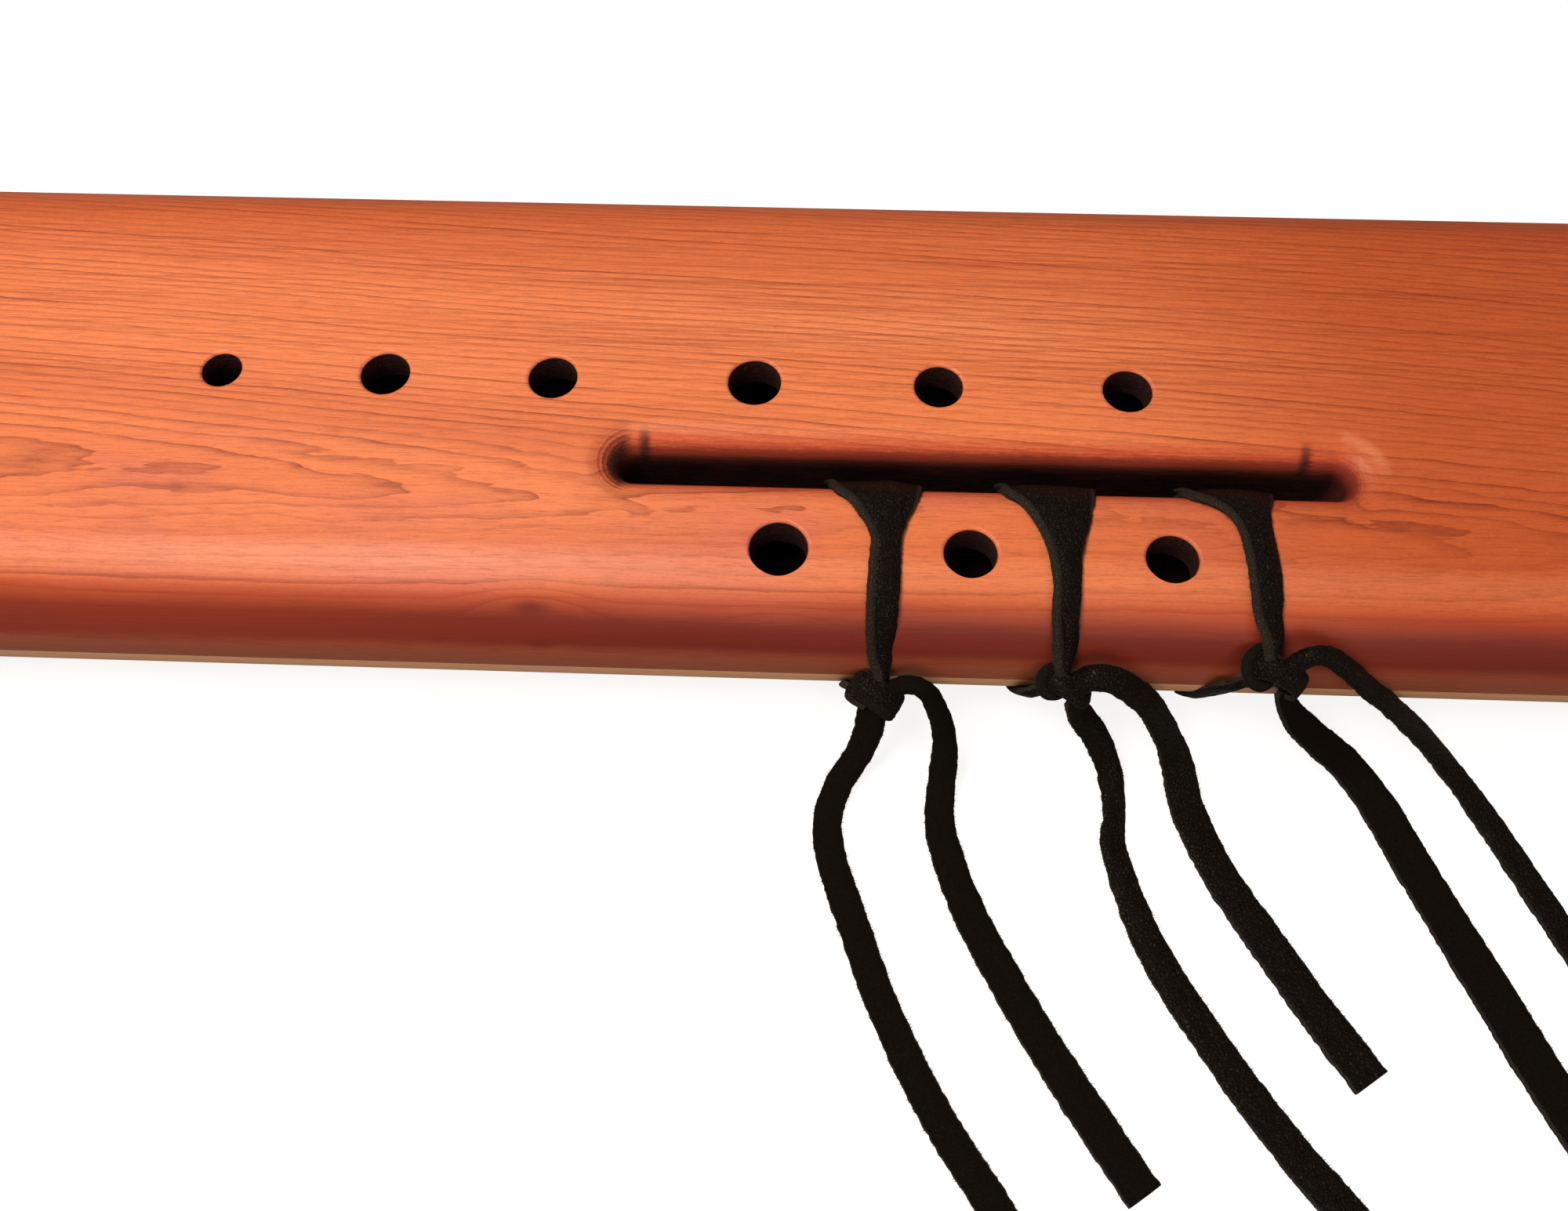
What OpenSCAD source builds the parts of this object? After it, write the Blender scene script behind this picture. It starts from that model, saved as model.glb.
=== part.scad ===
// Triple-chamber cedar flute: a melody bore between two drone bores, made as two glued half
// shells, with a block over each voice and three sliding straps round the tuned drone.
// X runs from the mouthpiece (-) to the foot (+), Y is across, Z is out of the finger-hole
// face. The back face lies at Z = 0, under the middle of the body. Millimetres.

/* [Body] */
// Overall length, mouthpiece tip to foot
body_len = 660; // [560:5:900]
// Diameter of each of the three bores
bore_d = 22.2; // [18:0.1:27]
// Wood between a bore and the outside
wall = 6.35; // [5:0.05:8]
// Wood between two neighbouring bores
mid_wall = 14.1; // [12:0.1:20]
// Chamfer round the outside of the foot
foot_chamfer = 1.5; // [0.5:0.1:3]
// Chamfer inside each bore at the foot
mouth_chamfer = 1; // [0.3:0.1:2]

/* [Mouthpiece] */
// Length over which the body narrows to the tip
taper_len = 75; // [50:1:120]
// Radius of the rounded tip
tip_r = 9; // [7:0.5:12]
// Distance between the two centres of the tip's rounding
tip_spread = 30; // [20:1:40]
// Radius of the shoulder half way along the taper
shoulder_r = 14.5; // [12:0.5:16]
// Distance between the two centres of the shoulder's rounding
shoulder_spread = 60; // [52:1:66]
// Diameter of each breath hole
breath_d = 6; // [4:0.1:7]
// Distance between neighbouring breath holes at the tip
breath_pitch = 13; // [9:0.5:16]

/* [Voice] */
// Distance from the foot to the edge of each sound hole
voice_from_foot = 491; // [400:1:495]
// Length of each slow air chamber
chamber_len = 77; // [40:1:80]
// Width of the flue, the sound hole and the chamber outlet
flue_w = 11; // [7:0.1:14]
// Depth of the flue
flue_depth = 1; // [0.6:0.1:1.5]
// Length of the flue
flue_len = 12; // [8:0.5:18]
// Length of the sound hole
window_len = 6.5; // [4:0.1:9]
// Length of the chamber outlet
outlet_len = 8; // [5:0.1:12]
// Slope of the splitting edge, in degrees
edge_slope = 15; // [8:1:25]
// Depth of the flat nest that the blocks sit on
nest_depth = 2.6; // [1.5:0.1:3.5]
// Nest length behind the sound holes
nest_behind = 56; // [52:1:62]
// Nest length past the sound holes
nest_ahead = 31; // [20:1:45]

/* [Holes] */
// Distances from the foot to the finger holes
finger_from_foot = [308.8, 276.4, 243.4, 204, 168.3, 131.9]; // [90:0.1:400]
// Diameters of the finger holes
finger_d = [7.7, 9.5, 9.4, 10.2, 9.3, 9.4]; // [6:0.1:12]
// Distances from the foot to the tuning holes of the tuned drone
tuning_from_foot = [198, 163.1, 126.7]; // [90:0.1:400]
// Diameters of the tuning holes
tuning_d = [10.7, 9.65, 9.5]; // [6:0.05:12]
// Rounding of every hole's rim
hole_round = 0.8; // [0.3:0.1:1.5]

/* [Slot] */
// Distance from the foot to the near end of the strap slot
slot_from_foot = 91.2; // [60:0.1:100]
// Length of the strap slot
slot_len = 137.8; // [135:0.1:150]
// Width of the strap slot
slot_w = 6; // [5:0.1:7.5]
// Rounding of the slot's lips on both faces
slot_round = 6; // [3:0.1:7]

/* [Straps] */
// Distances from the foot to the middle of each patch in the slot
patch_from_foot = [180.4, 148.1, 114.9]; // [110:0.1:190]
// Distances from the foot to the middle of each lace on the outer side
lace_from_foot = [178.9, 145.8, 110.4]; // [105:0.1:190]
// How far each lace lies towards the mouthpiece on the back
under_shift = [4, 5.5, 7]; // [0:0.5:8]
// Angle of each knot above the seam, in degrees
knot_angle = [0, 12, 24]; // [0:1:30]
// Width of the patch that closes a hole
patch_w = 17; // [15:0.1:18]
// Width of the lace
lace_w = 6.5; // [5:0.1:8]
// Thickness of the leather
leather_t = 1.4; // [1:0.1:1.6]
// Thickness of a drawn-up knot strand
strand_d = 4; // [3:0.1:5]
// How far each knot sits towards the foot from its lace
knot_shift = [0, 0.5, 2]; // [-3:0.1:3]

/* [Blocks] */
// Length of each block
block_len = 48; // [44:1:52]
// Width of each block
block_w = 20; // [15:0.5:24]
// Height of each block
block_h = 20; // [16:0.5:26]
// Depth of the saddle across each block
saddle_depth = 6; // [3:0.5:8]
// Rounding of the block's long top edges
block_round = 4; // [2:0.5:5]
// How far a block may be pushed either way to voice the flute
voicing_travel = 1.5; // [0.5:0.1:2]

/* [Clearances] */
// Gap between the leather and the wood that it slides on
slide_gap = 0.3; // [0.2:0.05:0.4]
// Gap between a block and the nest
seat_gap = 0.1; // [0.05:0.05:0.2]
// Gap between the two turns of the block tie
turn_gap = 0.3; // [0.1:0.1:0.6]

/* [Hidden] */

cedar = [0.86, 0.46, 0.28];
pale_cedar = [0.78, 0.52, 0.36];
block_wood = [0.45, 0.2, 0.12];
black_leather = [0.08, 0.065, 0.055];

over = 1; // how far a cut runs past the face that it opens
foot_x = body_len / 2;
tip_x = -body_len / 2;
bore_r = bore_d / 2;
bore_pitch = bore_d + mid_wall;
fixed_y = bore_pitch;
tuned_y = -bore_pitch;
side_r = bore_r + wall;
thick = 2 * side_r;
seam_z = side_r;
side_y = bore_pitch + side_r;
taper_x = tip_x + taper_len;
voice_x = foot_x - voice_from_foot;
flue_x = voice_x - flue_len;
nest_z = thick - nest_depth;
cove_r = 12; // cove at each end of the nest
bore_lead = 2; // how far a bore starts behind its sound hole

slot_x = foot_x - slot_from_foot;
slot_y = -bore_pitch / 2;
slot_edge_y = slot_y - slot_w / 2;

saddle_w = 2 * lace_w + turn_gap + 2 * (voicing_travel + slide_gap);
saddle_r = 4; // cove at each side of the saddle
saddle_x = voice_x - block_len * 0.54;
saddle_z = nest_z + seat_gap + block_h - saddle_depth;

knot_reach = side_r + slide_gap + leather_t + strand_d / 2 - 0.2;

// The free tails. Each point is [towards the foot from its lace, out from the side, height];
// the heights were chosen for a seam this high.
route_seam = 17.45;
tail_routes = [
  [[-0.4, -4.2, 17.4], [-0.8, -5.4, 13.2], [-1.3, -7.8, 8.4], [-3, -11, 3.8], [-6.5, -16, 0.3],
   [-8.5, -22, -0.9], [-8.2, -28.2, -0.9], [-6.5, -34.2, -0.9], [-2.3, -45.7, -0.9],
   [2, -56.8, -0.9], [7.1, -67.4, -0.9], [12.9, -77.5, -0.9], [21.2, -89.6, -0.9],
   [25.2, -95.4, -0.9]],
  [[1.8, -3.6, 20], [5, -4.1, 23.4], [8.4, -4.9, 22.6], [10.8, -6.4, 18], [12.7, -8.4, 12],
   [13.6, -11, 6], [13.4, -15.7, 1], [13.1, -21.3, -0.9], [13.9, -27.4, -0.9],
   [18, -39.2, -0.9], [23.8, -50.5, -0.9], [30, -61.3, -0.9], [36.5, -71.6, -0.9],
   [47, -87.1, -0.9]],
  [[2.4, -4.4, 20], [5, -5.2, 14.5], [9.3, -7.8, 8], [12.7, -12, 2], [13.9, -20, -0.9],
   [13.2, -26.4, -0.9], [16, -38.2, -0.9], [20.8, -49.5, -0.9], [27.1, -60.2, -0.9],
   [33.8, -70.5, -0.9], [41.1, -80.4, -0.9], [47, -87.5, -0.9], [50.9, -92.7, -0.9]],
  [[1.4, -3.6, 24.2], [5, -3.4, 27.6], [9.2, -3.7, 27], [13, -4.4, 24], [17.2, -5.4, 19],
   [22, -8.1, 11], [25.4, -12.2, 4.5], [28.3, -19.7, -0.9], [33.1, -31.7, -0.9],
   [39.9, -43.2, -0.9], [46.5, -54.1, -0.9], [55.4, -67.4, -0.9]],
  [[4.2, -3, 23.6], [7.4, -3.8, 18], [11.4, -4.8, 12], [16.5, -6.4, 7], [24.6, -10.2, 1],
   [30.3, -18.5, -0.9], [35.3, -30.5, -0.9], [40.3, -42, -0.9], [45.2, -53, -0.9],
   [49.7, -63.5, -0.9], [54.5, -73.6, -0.9], [58.6, -83.4, -0.9], [62.6, -93.4, -0.9]],
  [[2.8, -1.8, 28.6], [5.8, -0.6, 32.6], [9.5, -0.2, 33], [14.2, -1.5, 30], [20.3, -2.8, 24],
   [25.4, -3.8, 19.5], [35.6, -5.9, 9], [43.2, -9.9, 2], [49.5, -18, -0.9], [54.9, -29.8, -0.9],
   [60.2, -41.3, -0.9], [65.3, -52.3, -0.9], [70.3, -63.1, -0.9]]];
// Rings over which a tail opens from a drawn-up strand to a flat lace
opening_rings = 6;

// ---- shared shapes ----

// A stretch of the three-bore outline, from radius r0 at x0 to radius r1 at x1
module outline_run(x0, x1, r0, r1) {
  for (y = [fixed_y, tuned_y])
    translate([x0, y, seam_z]) rotate([0, 90, 0]) cylinder(h = x1 - x0, r1 = r0, r2 = r1, $fn = 128);
  translate([0, fixed_y, 0]) rotate([90, 0, 0]) linear_extrude(2 * bore_pitch)
    polygon([[x0, seam_z - r0], [x1, seam_z - r1], [x1, seam_z + r1], [x0, seam_z + r0]]);
}

module mouthpiece_outline() {
  hull() {
    for (y = [fixed_y, tuned_y])
      translate([taper_x, y, seam_z]) rotate([0, 90, 0]) cylinder(h = 0.5, r = side_r, $fn = 64);
    for (y = [-shoulder_spread / 2, shoulder_spread / 2])
      translate([tip_x + taper_len / 2, y, seam_z]) sphere(r = shoulder_r, $fn = 32);
    for (y = [-tip_spread / 2, tip_spread / 2])
      translate([tip_x + tip_r, y, seam_z]) sphere(r = tip_r, $fn = 32);
  }
}

module body_outline() {
  mouthpiece_outline();
  outline_run(taper_x, foot_x - foot_chamfer, side_r, side_r);
  outline_run(foot_x - foot_chamfer, foot_x, side_r, side_r - foot_chamfer);
}

module bores() {
  for (i = [-1, 0, 1]) {
    y = i * bore_pitch;
    tip_y = i * breath_pitch;
    reach = flue_x - chamber_len - tip_x;
    slant = atan((y - tip_y) / reach);
    translate([voice_x - bore_lead, y, seam_z]) rotate([0, 90, 0])
      cylinder(h = voice_from_foot + bore_lead + over, r = bore_r, $fn = 96);
    translate([foot_x - mouth_chamfer, y, seam_z]) rotate([0, 90, 0])
      cylinder(h = 2 * mouth_chamfer, r1 = bore_r, r2 = bore_r + 2 * mouth_chamfer, $fn = 96);
    translate([flue_x - chamber_len, y, seam_z]) rotate([0, 90, 0])
      cylinder(h = chamber_len, r = bore_r, $fn = 96);
    translate([tip_x, tip_y, seam_z]) rotate([0, 90, slant]) translate([0, 0, -2 * over])
      cylinder(h = reach / cos(slant) + 2 * over, r = breath_d / 2, $fn = 48);
  }
}

// Half the lip profile of the slot: a straight wall that rounds over to the face at height z
module lip_cut(z, up) {
  difference() {
    translate([0, up ? z - slot_round : z - over]) square([slot_w / 2 + slot_round, slot_round + over]);
    translate([slot_w / 2 + slot_round, up ? z - slot_round : z + slot_round]) circle(r = slot_round, $fn = 96);
  }
}

module slot_cut() {
  run = slot_len - slot_w;
  first_x = slot_x - slot_len + slot_w / 2;
  translate([first_x, slot_y, 0]) {
    for (x = [0, run]) translate([x, 0, 0]) {
      translate([0, 0, -over]) cylinder(h = thick + 2 * over, r = slot_w / 2, $fn = 64);
      rotate_extrude($fn = 96) lip_cut(thick, true);
      rotate_extrude($fn = 96) lip_cut(0, false);
    }
    translate([0, -slot_w / 2, -over]) cube([run, slot_w, thick + 2 * over]);
    for (side = [0, 1]) mirror([0, side, 0]) rotate([90, 0, 90]) linear_extrude(run) {
      lip_cut(thick, true);
      lip_cut(0, false);
    }
  }
}

module hole_cut(x, y, d) {
  translate([x, y, seam_z]) cylinder(h = side_r + over, d = d, $fn = 72);
  translate([x, y, thick]) rotate_extrude($fn = 72) difference() {
    translate([0, -hole_round]) square([d / 2 + hole_round, hole_round + over]);
    translate([d / 2 + hole_round, -hole_round]) circle(r = hole_round, $fn = 48);
  }
}

module hole_cuts() {
  for (i = [0:len(finger_from_foot) - 1]) hole_cut(foot_x - finger_from_foot[i], 0, finger_d[i]);
  for (i = [0:len(tuning_from_foot) - 1]) hole_cut(foot_x - tuning_from_foot[i], tuned_y, tuning_d[i]);
}

// The flat that the blocks sit on, with a cove at each end
module nest_cut() {
  translate([voice_x - nest_behind, -side_y, nest_z])
    cube([nest_behind + nest_ahead, 2 * side_y, nest_depth + over]);
  for (x = [voice_x - nest_behind, voice_x + nest_ahead])
    translate([x, side_y, nest_z + cove_r]) rotate([90, 0, 0]) cylinder(h = 2 * side_y, r = cove_r, $fn = 96);
}

// Chamber outlet, flue, sound hole and splitting edge over each bore, cut as one profile
module voice_cuts() {
  outlet_x = flue_x - outlet_len;
  flue_z = nest_z - flue_depth;
  edge_x = voice_x + window_len;
  edge_z = nest_z - 2 * flue_depth;
  ramp_x = edge_x + (nest_z - edge_z) / tan(edge_slope);
  for (i = [-1, 0, 1])
    translate([0, i * bore_pitch + flue_w / 2, 0]) rotate([90, 0, 0]) linear_extrude(flue_w)
      polygon([[outlet_x, seam_z], [flue_x, seam_z], [flue_x, flue_z], [voice_x, flue_z],
               [voice_x, seam_z], [edge_x, seam_z], [edge_x, edge_z], [ramp_x, nest_z],
               [ramp_x, thick + over], [outlet_x, thick + over]]);
}

// ---- sub-parts ----

module front_shell() {
  color(cedar) difference() {
    body_outline();
    translate([tip_x - over, -side_y - over, -over]) cube([body_len + 2 * over, 2 * (side_y + over), seam_z + over]);
    bores();
    slot_cut();
    hole_cuts();
    nest_cut();
    voice_cuts();
  }
}

module back_shell() {
  color(pale_cedar) difference() {
    body_outline();
    translate([tip_x - over, -side_y - over, seam_z]) cube([body_len + 2 * over, 2 * (side_y + over), side_r + over]);
    bores();
    slot_cut();
  }
}

// A block with a scooped saddle, a sloping tail and a chimney notch over the sound hole
module block(y) {
  chimney_len = 7;
  nose_r = 8;
  tail_r = 14;
  front_x = voice_x + chimney_len;
  color(block_wood) translate([0, y, nest_z + seat_gap]) difference() {
    intersection() {
      translate([0, block_w / 2, 0]) rotate([90, 0, 0]) linear_extrude(block_w) difference() {
        translate([front_x - block_len, 0]) square([block_len, block_h]);
        difference() {
          translate([front_x - nose_r, block_h - nose_r]) square(nose_r + over);
          translate([front_x - nose_r, block_h - nose_r]) circle(r = nose_r, $fn = 96);
        }
        difference() {
          translate([front_x - block_len - over, block_h - tail_r]) square(tail_r + over);
          translate([front_x - block_len + tail_r, block_h - tail_r]) circle(r = tail_r, $fn = 96);
        }
        translate([saddle_x - saddle_w / 2, block_h - saddle_depth]) square([saddle_w, saddle_depth + over]);
        for (side = [-1, 1])
          translate([saddle_x + side * saddle_w / 2, block_h - saddle_depth + saddle_r])
            circle(r = saddle_r, $fn = 48);
        for (side = [0, 1])
          translate([saddle_x - saddle_w / 2 - saddle_r + side * (saddle_w + saddle_r),
                     block_h - saddle_depth + saddle_r])
            square([saddle_r, saddle_depth]);
      }
      translate([front_x - block_len - over, 0, 0]) rotate([90, 0, 90])
        linear_extrude(block_len + 2 * over) {
          translate([-block_w / 2, 0]) square([block_w, block_h - block_round]);
          translate([-block_w / 2 + block_round, 0]) square([block_w - 2 * block_round, block_h]);
          for (side = [-1, 1])
            translate([side * (block_w / 2 - block_round), block_h - block_round]) circle(r = block_round, $fn = 48);
        }
    }
    translate([voice_x, -flue_w / 2, -over]) cube([chimney_len + over, flue_w, block_h + 2 * over]);
  }
}

module melody_block() block(0);
module fixed_drone_block() block(fixed_y);
module tuned_drone_block() block(tuned_y);

// Outline of the body and the saddles together, grown by d
module tie_outline(d) {
  hull() {
    for (y = [fixed_y, tuned_y]) translate([y, seam_z]) circle(r = side_r + d, $fn = 32);
    for (side = [-1, 1]) translate([side * (bore_pitch + block_w / 2), saddle_z]) circle(r = d, $fn = 32);
  }
}

module block_tie() {
  color(black_leather) for (side = [-1, 1])
    translate([saddle_x + side * (lace_w + turn_gap) / 2 - lace_w / 2, 0, 0])
      rotate([90, 0, 90]) linear_extrude(lace_w) difference() {
        tie_outline(slide_gap + leather_t);
        tie_outline(slide_gap);
      }
}

// Two crossed strands, long along the first axis
module crossed_strands(half_len, half_rise) {
  for (side = [-1, 1]) hull() {
    for (end = [-1, 1]) translate([end * half_len, end * side * half_rise, 0]) sphere(d = strand_d, $fn = 20);
  }
}

module block_tie_knot() {
  color(black_leather) translate([saddle_x, 0, saddle_z + slide_gap + leather_t + strand_d / 2 - 0.2])
    crossed_strands(4, 3);
}

// Outline of the tuned drone's tube between the slot and the outer side, grown by d
module drone_outline(d) {
  translate([tuned_y, seam_z]) circle(r = side_r + d, $fn = 128);
  translate([tuned_y, -d]) square([slot_edge_y - slot_round - tuned_y, thick + 2 * d]);
  translate([tuned_y, slot_round]) square([slot_edge_y - tuned_y + d, thick - 2 * slot_round]);
  for (z = [slot_round, thick - slot_round])
    translate([slot_edge_y - slot_round, z]) circle(r = slot_round + d, $fn = 96);
}

// The strap seen from above: a patch at the slot that narrows to the lace past the crest
module strap_plan(patch_x, lace_x) {
  patch_end_y = slot_edge_y - slot_round;
  lace_start_y = tuned_y;
  polygon([[patch_x - patch_w / 2, slot_y], [patch_x + patch_w / 2, slot_y],
           [patch_x + patch_w / 2, patch_end_y], [lace_x + lace_w / 2, lace_start_y],
           [lace_x + lace_w / 2, -2 * side_y], [lace_x - lace_w / 2, -2 * side_y],
           [lace_x - lace_w / 2, lace_start_y], [patch_x - patch_w / 2, patch_end_y]]);
}

module hole_strap(i) {
  patch_x = foot_x - patch_from_foot[i];
  lace_x = foot_x - lace_from_foot[i];
  color(black_leather) intersection() {
    translate([patch_x - 2 * patch_w, 0, 0]) rotate([90, 0, 90]) linear_extrude(4 * patch_w) difference() {
      drone_outline(slide_gap + leather_t);
      drone_outline(slide_gap);
    }
    union() {
      translate([0, 0, seam_z]) linear_extrude(thick) strap_plan(patch_x, lace_x);
      translate([0, 0, seam_z - thick]) linear_extrude(thick) strap_plan(patch_x, lace_x - under_shift[i]);
    }
  }
}

module hole_strap_1() hole_strap(0);
module hole_strap_2() hole_strap(1);
module hole_strap_3() hole_strap(2);

module strap_knot(i) {
  color(black_leather)
    translate([foot_x - lace_from_foot[i] + knot_shift[i], tuned_y - knot_reach * cos(knot_angle[i]),
               seam_z + knot_reach * sin(knot_angle[i])])
      rotate([90 - knot_angle[i], 0, 0]) crossed_strands(2.2, 1.6);
}

module strap_knot_1() strap_knot(0);
module strap_knot_2() strap_knot(1);
module strap_knot_3() strap_knot(2);

function unit(v) = v / norm(v);
function raised(p) = p[2] > route_seam / 2 ? p[2] + seam_z - route_seam : p[2];
function placed(route, i) =
  [for (p = route) [foot_x - lace_from_foot[i] + p[0], -side_y + p[1], raised(p)]];
function heading(pts, i) = unit(pts[min(i + 1, len(pts) - 1)] - pts[max(i - 1, 0)]);
function opened(i) = min(1, i / opening_rings);
function ring(centre, along, i) =
  let (across = unit(cross(along, [0, 0, 1])), up = cross(across, along),
       w = (strand_d + (lace_w - strand_d) * opened(i)) / 2,
       t = (strand_d / 2 + (leather_t - strand_d / 2) * opened(i)) / 2)
  [for (c = [[1, 0], [0.9, 1], [0, 1], [-0.9, 1], [-1, 0], [-0.9, -1], [0, -1], [0.9, -1]])
    centre + c[0] * w * across + c[1] * t * up];

// A flat lace swept along its route
module lace(pts) {
  sides = 8;
  last = len(pts) - 1;
  points = [for (i = [0:last]) each ring(pts[i], heading(pts, i), i)];
  walls = [for (i = [0:last - 1], k = [0:sides - 1])
    let (a = i * sides + k, b = i * sides + (k + 1) % sides) each [[a, b, a + sides], [b, b + sides, a + sides]]];
  ends = [[for (k = [sides - 1:-1:0]) k], [for (k = [0:sides - 1]) last * sides + k]];
  polyhedron(points, concat(walls, ends));
}

module strap_tail(i, side) {
  color(black_leather) lace(placed(tail_routes[2 * i + side], i));
}

module strap_tail_1_left() strap_tail(0, 0);
module strap_tail_1_right() strap_tail(0, 1);
module strap_tail_2_left() strap_tail(1, 0);
module strap_tail_2_right() strap_tail(1, 1);
module strap_tail_3_left() strap_tail(2, 0);
module strap_tail_3_right() strap_tail(2, 1);

front_shell();
back_shell();
melody_block();
fixed_drone_block();
tuned_drone_block();
block_tie();
block_tie_knot();
hole_strap_1();
hole_strap_2();
hole_strap_3();
strap_knot_1();
strap_knot_2();
strap_knot_3();
strap_tail_1_left();
strap_tail_1_right();
strap_tail_2_left();
strap_tail_2_right();
strap_tail_3_left();
strap_tail_3_right();
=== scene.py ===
import math
import random
import bpy
from mathutils import Matrix, Vector, noise


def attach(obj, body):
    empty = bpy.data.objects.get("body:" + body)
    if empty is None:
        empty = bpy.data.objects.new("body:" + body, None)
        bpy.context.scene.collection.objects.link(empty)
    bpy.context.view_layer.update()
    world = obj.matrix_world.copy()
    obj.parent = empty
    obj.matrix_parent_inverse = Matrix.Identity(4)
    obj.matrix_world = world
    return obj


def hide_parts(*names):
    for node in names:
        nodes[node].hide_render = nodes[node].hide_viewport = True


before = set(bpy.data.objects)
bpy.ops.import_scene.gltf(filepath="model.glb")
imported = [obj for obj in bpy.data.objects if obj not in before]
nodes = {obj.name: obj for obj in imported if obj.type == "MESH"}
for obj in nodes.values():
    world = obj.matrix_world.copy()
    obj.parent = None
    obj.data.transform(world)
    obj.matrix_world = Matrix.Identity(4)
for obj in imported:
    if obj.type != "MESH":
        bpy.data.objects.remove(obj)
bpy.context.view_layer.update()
print("flute frame loaded,", len(nodes), "nodes")

mm = 0.001
body = {"foot": 330, "seam": 17.45, "thick": 34.9, "tubeY": -36.3, "farY": 36.3, "tubeR": 17.45,
        "slotY": -18.15, "slotHalf": 3, "slotRound": 6, "slotEnds": (104, 235.8), "floor": -1.7}
sideY = body["tubeY"] - body["tubeR"]

# camera, lamps and the pale room
camera = {"place": (0.138772, -0.142699, 0.236749), "turn": (0.439, 0.024, 0.028),
          "lens": 28.804, "sensor": 36.0}
lamps = {
    "key": {"place": (-0.21, -0.06, 0.80), "aim": (0.06, -0.04, 0.02), "size": (0.55, 0.34), "power": 7.3,
            "tone": (1.0, 0.97, 0.93)},
    "front": {"place": (0.30, -0.75, 0.45), "aim": (0.14, -0.05, 0.02), "size": (0.8, 0.4), "power": 2.3,
              "tone": (1.0, 0.85, 0.72)},
}
room = {"sky": (1.0, 0.99, 0.975), "skyLevel": 0.13, "skySeen": 0.95, "floorTone": (0.25, 0.24, 0.23),
        "floorMottle": (0.22, 0.22, 0.22), "floorGlow": (1.0, 0.995, 0.985), "floorLevel": 0.86,
        "floorReach": 9.0, "floorDrop": 0.05}


def setCamera():
    lens = bpy.data.cameras.new("fluteCamera")
    lens.sensor_fit = "HORIZONTAL"
    lens.sensor_width = camera["sensor"]
    lens.lens = camera["lens"]
    lens.clip_start, lens.clip_end = 0.01, 20
    eye = bpy.data.objects.new("fluteCamera", lens)
    bpy.context.scene.collection.objects.link(eye)
    eye.location = camera["place"]
    eye.rotation_mode = "ZYX"
    eye.rotation_euler = camera["turn"]
    bpy.context.scene.camera = eye


def setLamps():
    for name, lamp in lamps.items():
        light = bpy.data.lights.new(name + "Lamp", "AREA")
        light.shape = "RECTANGLE"
        light.size, light.size_y = lamp["size"]
        light.energy = lamp["power"]
        light.color = lamp["tone"]
        holder = bpy.data.objects.new(name + "Lamp", light)
        bpy.context.scene.collection.objects.link(holder)
        holder.location = lamp["place"]
        aim = Vector(lamp["aim"]) - Vector(lamp["place"])
        holder.rotation_euler = aim.to_track_quat("-Z", "Y").to_euler()
    sky = bpy.data.worlds.new("paleRoom")
    sky.use_nodes = True
    background = sky.node_tree.nodes["Background"]
    background.inputs["Color"].default_value = (*room["sky"], 1)
    seen = sky.node_tree.nodes.new("ShaderNodeLightPath")
    level = sky.node_tree.nodes.new("ShaderNodeMapRange")
    level.inputs["To Min"].default_value = room["skyLevel"]
    level.inputs["To Max"].default_value = room["skySeen"]
    sky.node_tree.links.new(seen.outputs["Is Camera Ray"], level.inputs["Value"])
    sky.node_tree.links.new(level.outputs["Result"], background.inputs["Strength"])
    bpy.context.scene.world = sky


setCamera()
setLamps()
bpy.context.scene.view_settings.view_transform = "Standard"
print("camera and lamps set")


class Wire:
    # a node's output that can be added, scaled and compared like a number
    def __init__(self, maker, socket):
        self.maker, self.socket = maker, socket

    def also(self, output):
        return Wire(self.maker, self.socket.node.outputs[output])

    def run(self, operation, *values):
        return self.maker.node("ShaderNodeMath", {"operation": operation}, dict(enumerate(values)))

    def __add__(self, other):
        return self.run("ADD", self, other)

    def __radd__(self, other):
        return self.run("ADD", other, self)

    def __sub__(self, other):
        return self.run("SUBTRACT", self, other)

    def __rsub__(self, other):
        return self.run("SUBTRACT", other, self)

    def __mul__(self, other):
        return self.run("MULTIPLY", self, other)

    def __rmul__(self, other):
        return self.run("MULTIPLY", other, self)

    def __truediv__(self, other):
        return self.run("DIVIDE", self, other)

    def __rtruediv__(self, other):
        return self.run("DIVIDE", other, self)

    def __pow__(self, other):
        return self.run("POWER", self, other)

    def __abs__(self):
        return self.run("ABSOLUTE", self)

    def root(self):
        return self.run("SQRT", self)


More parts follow.
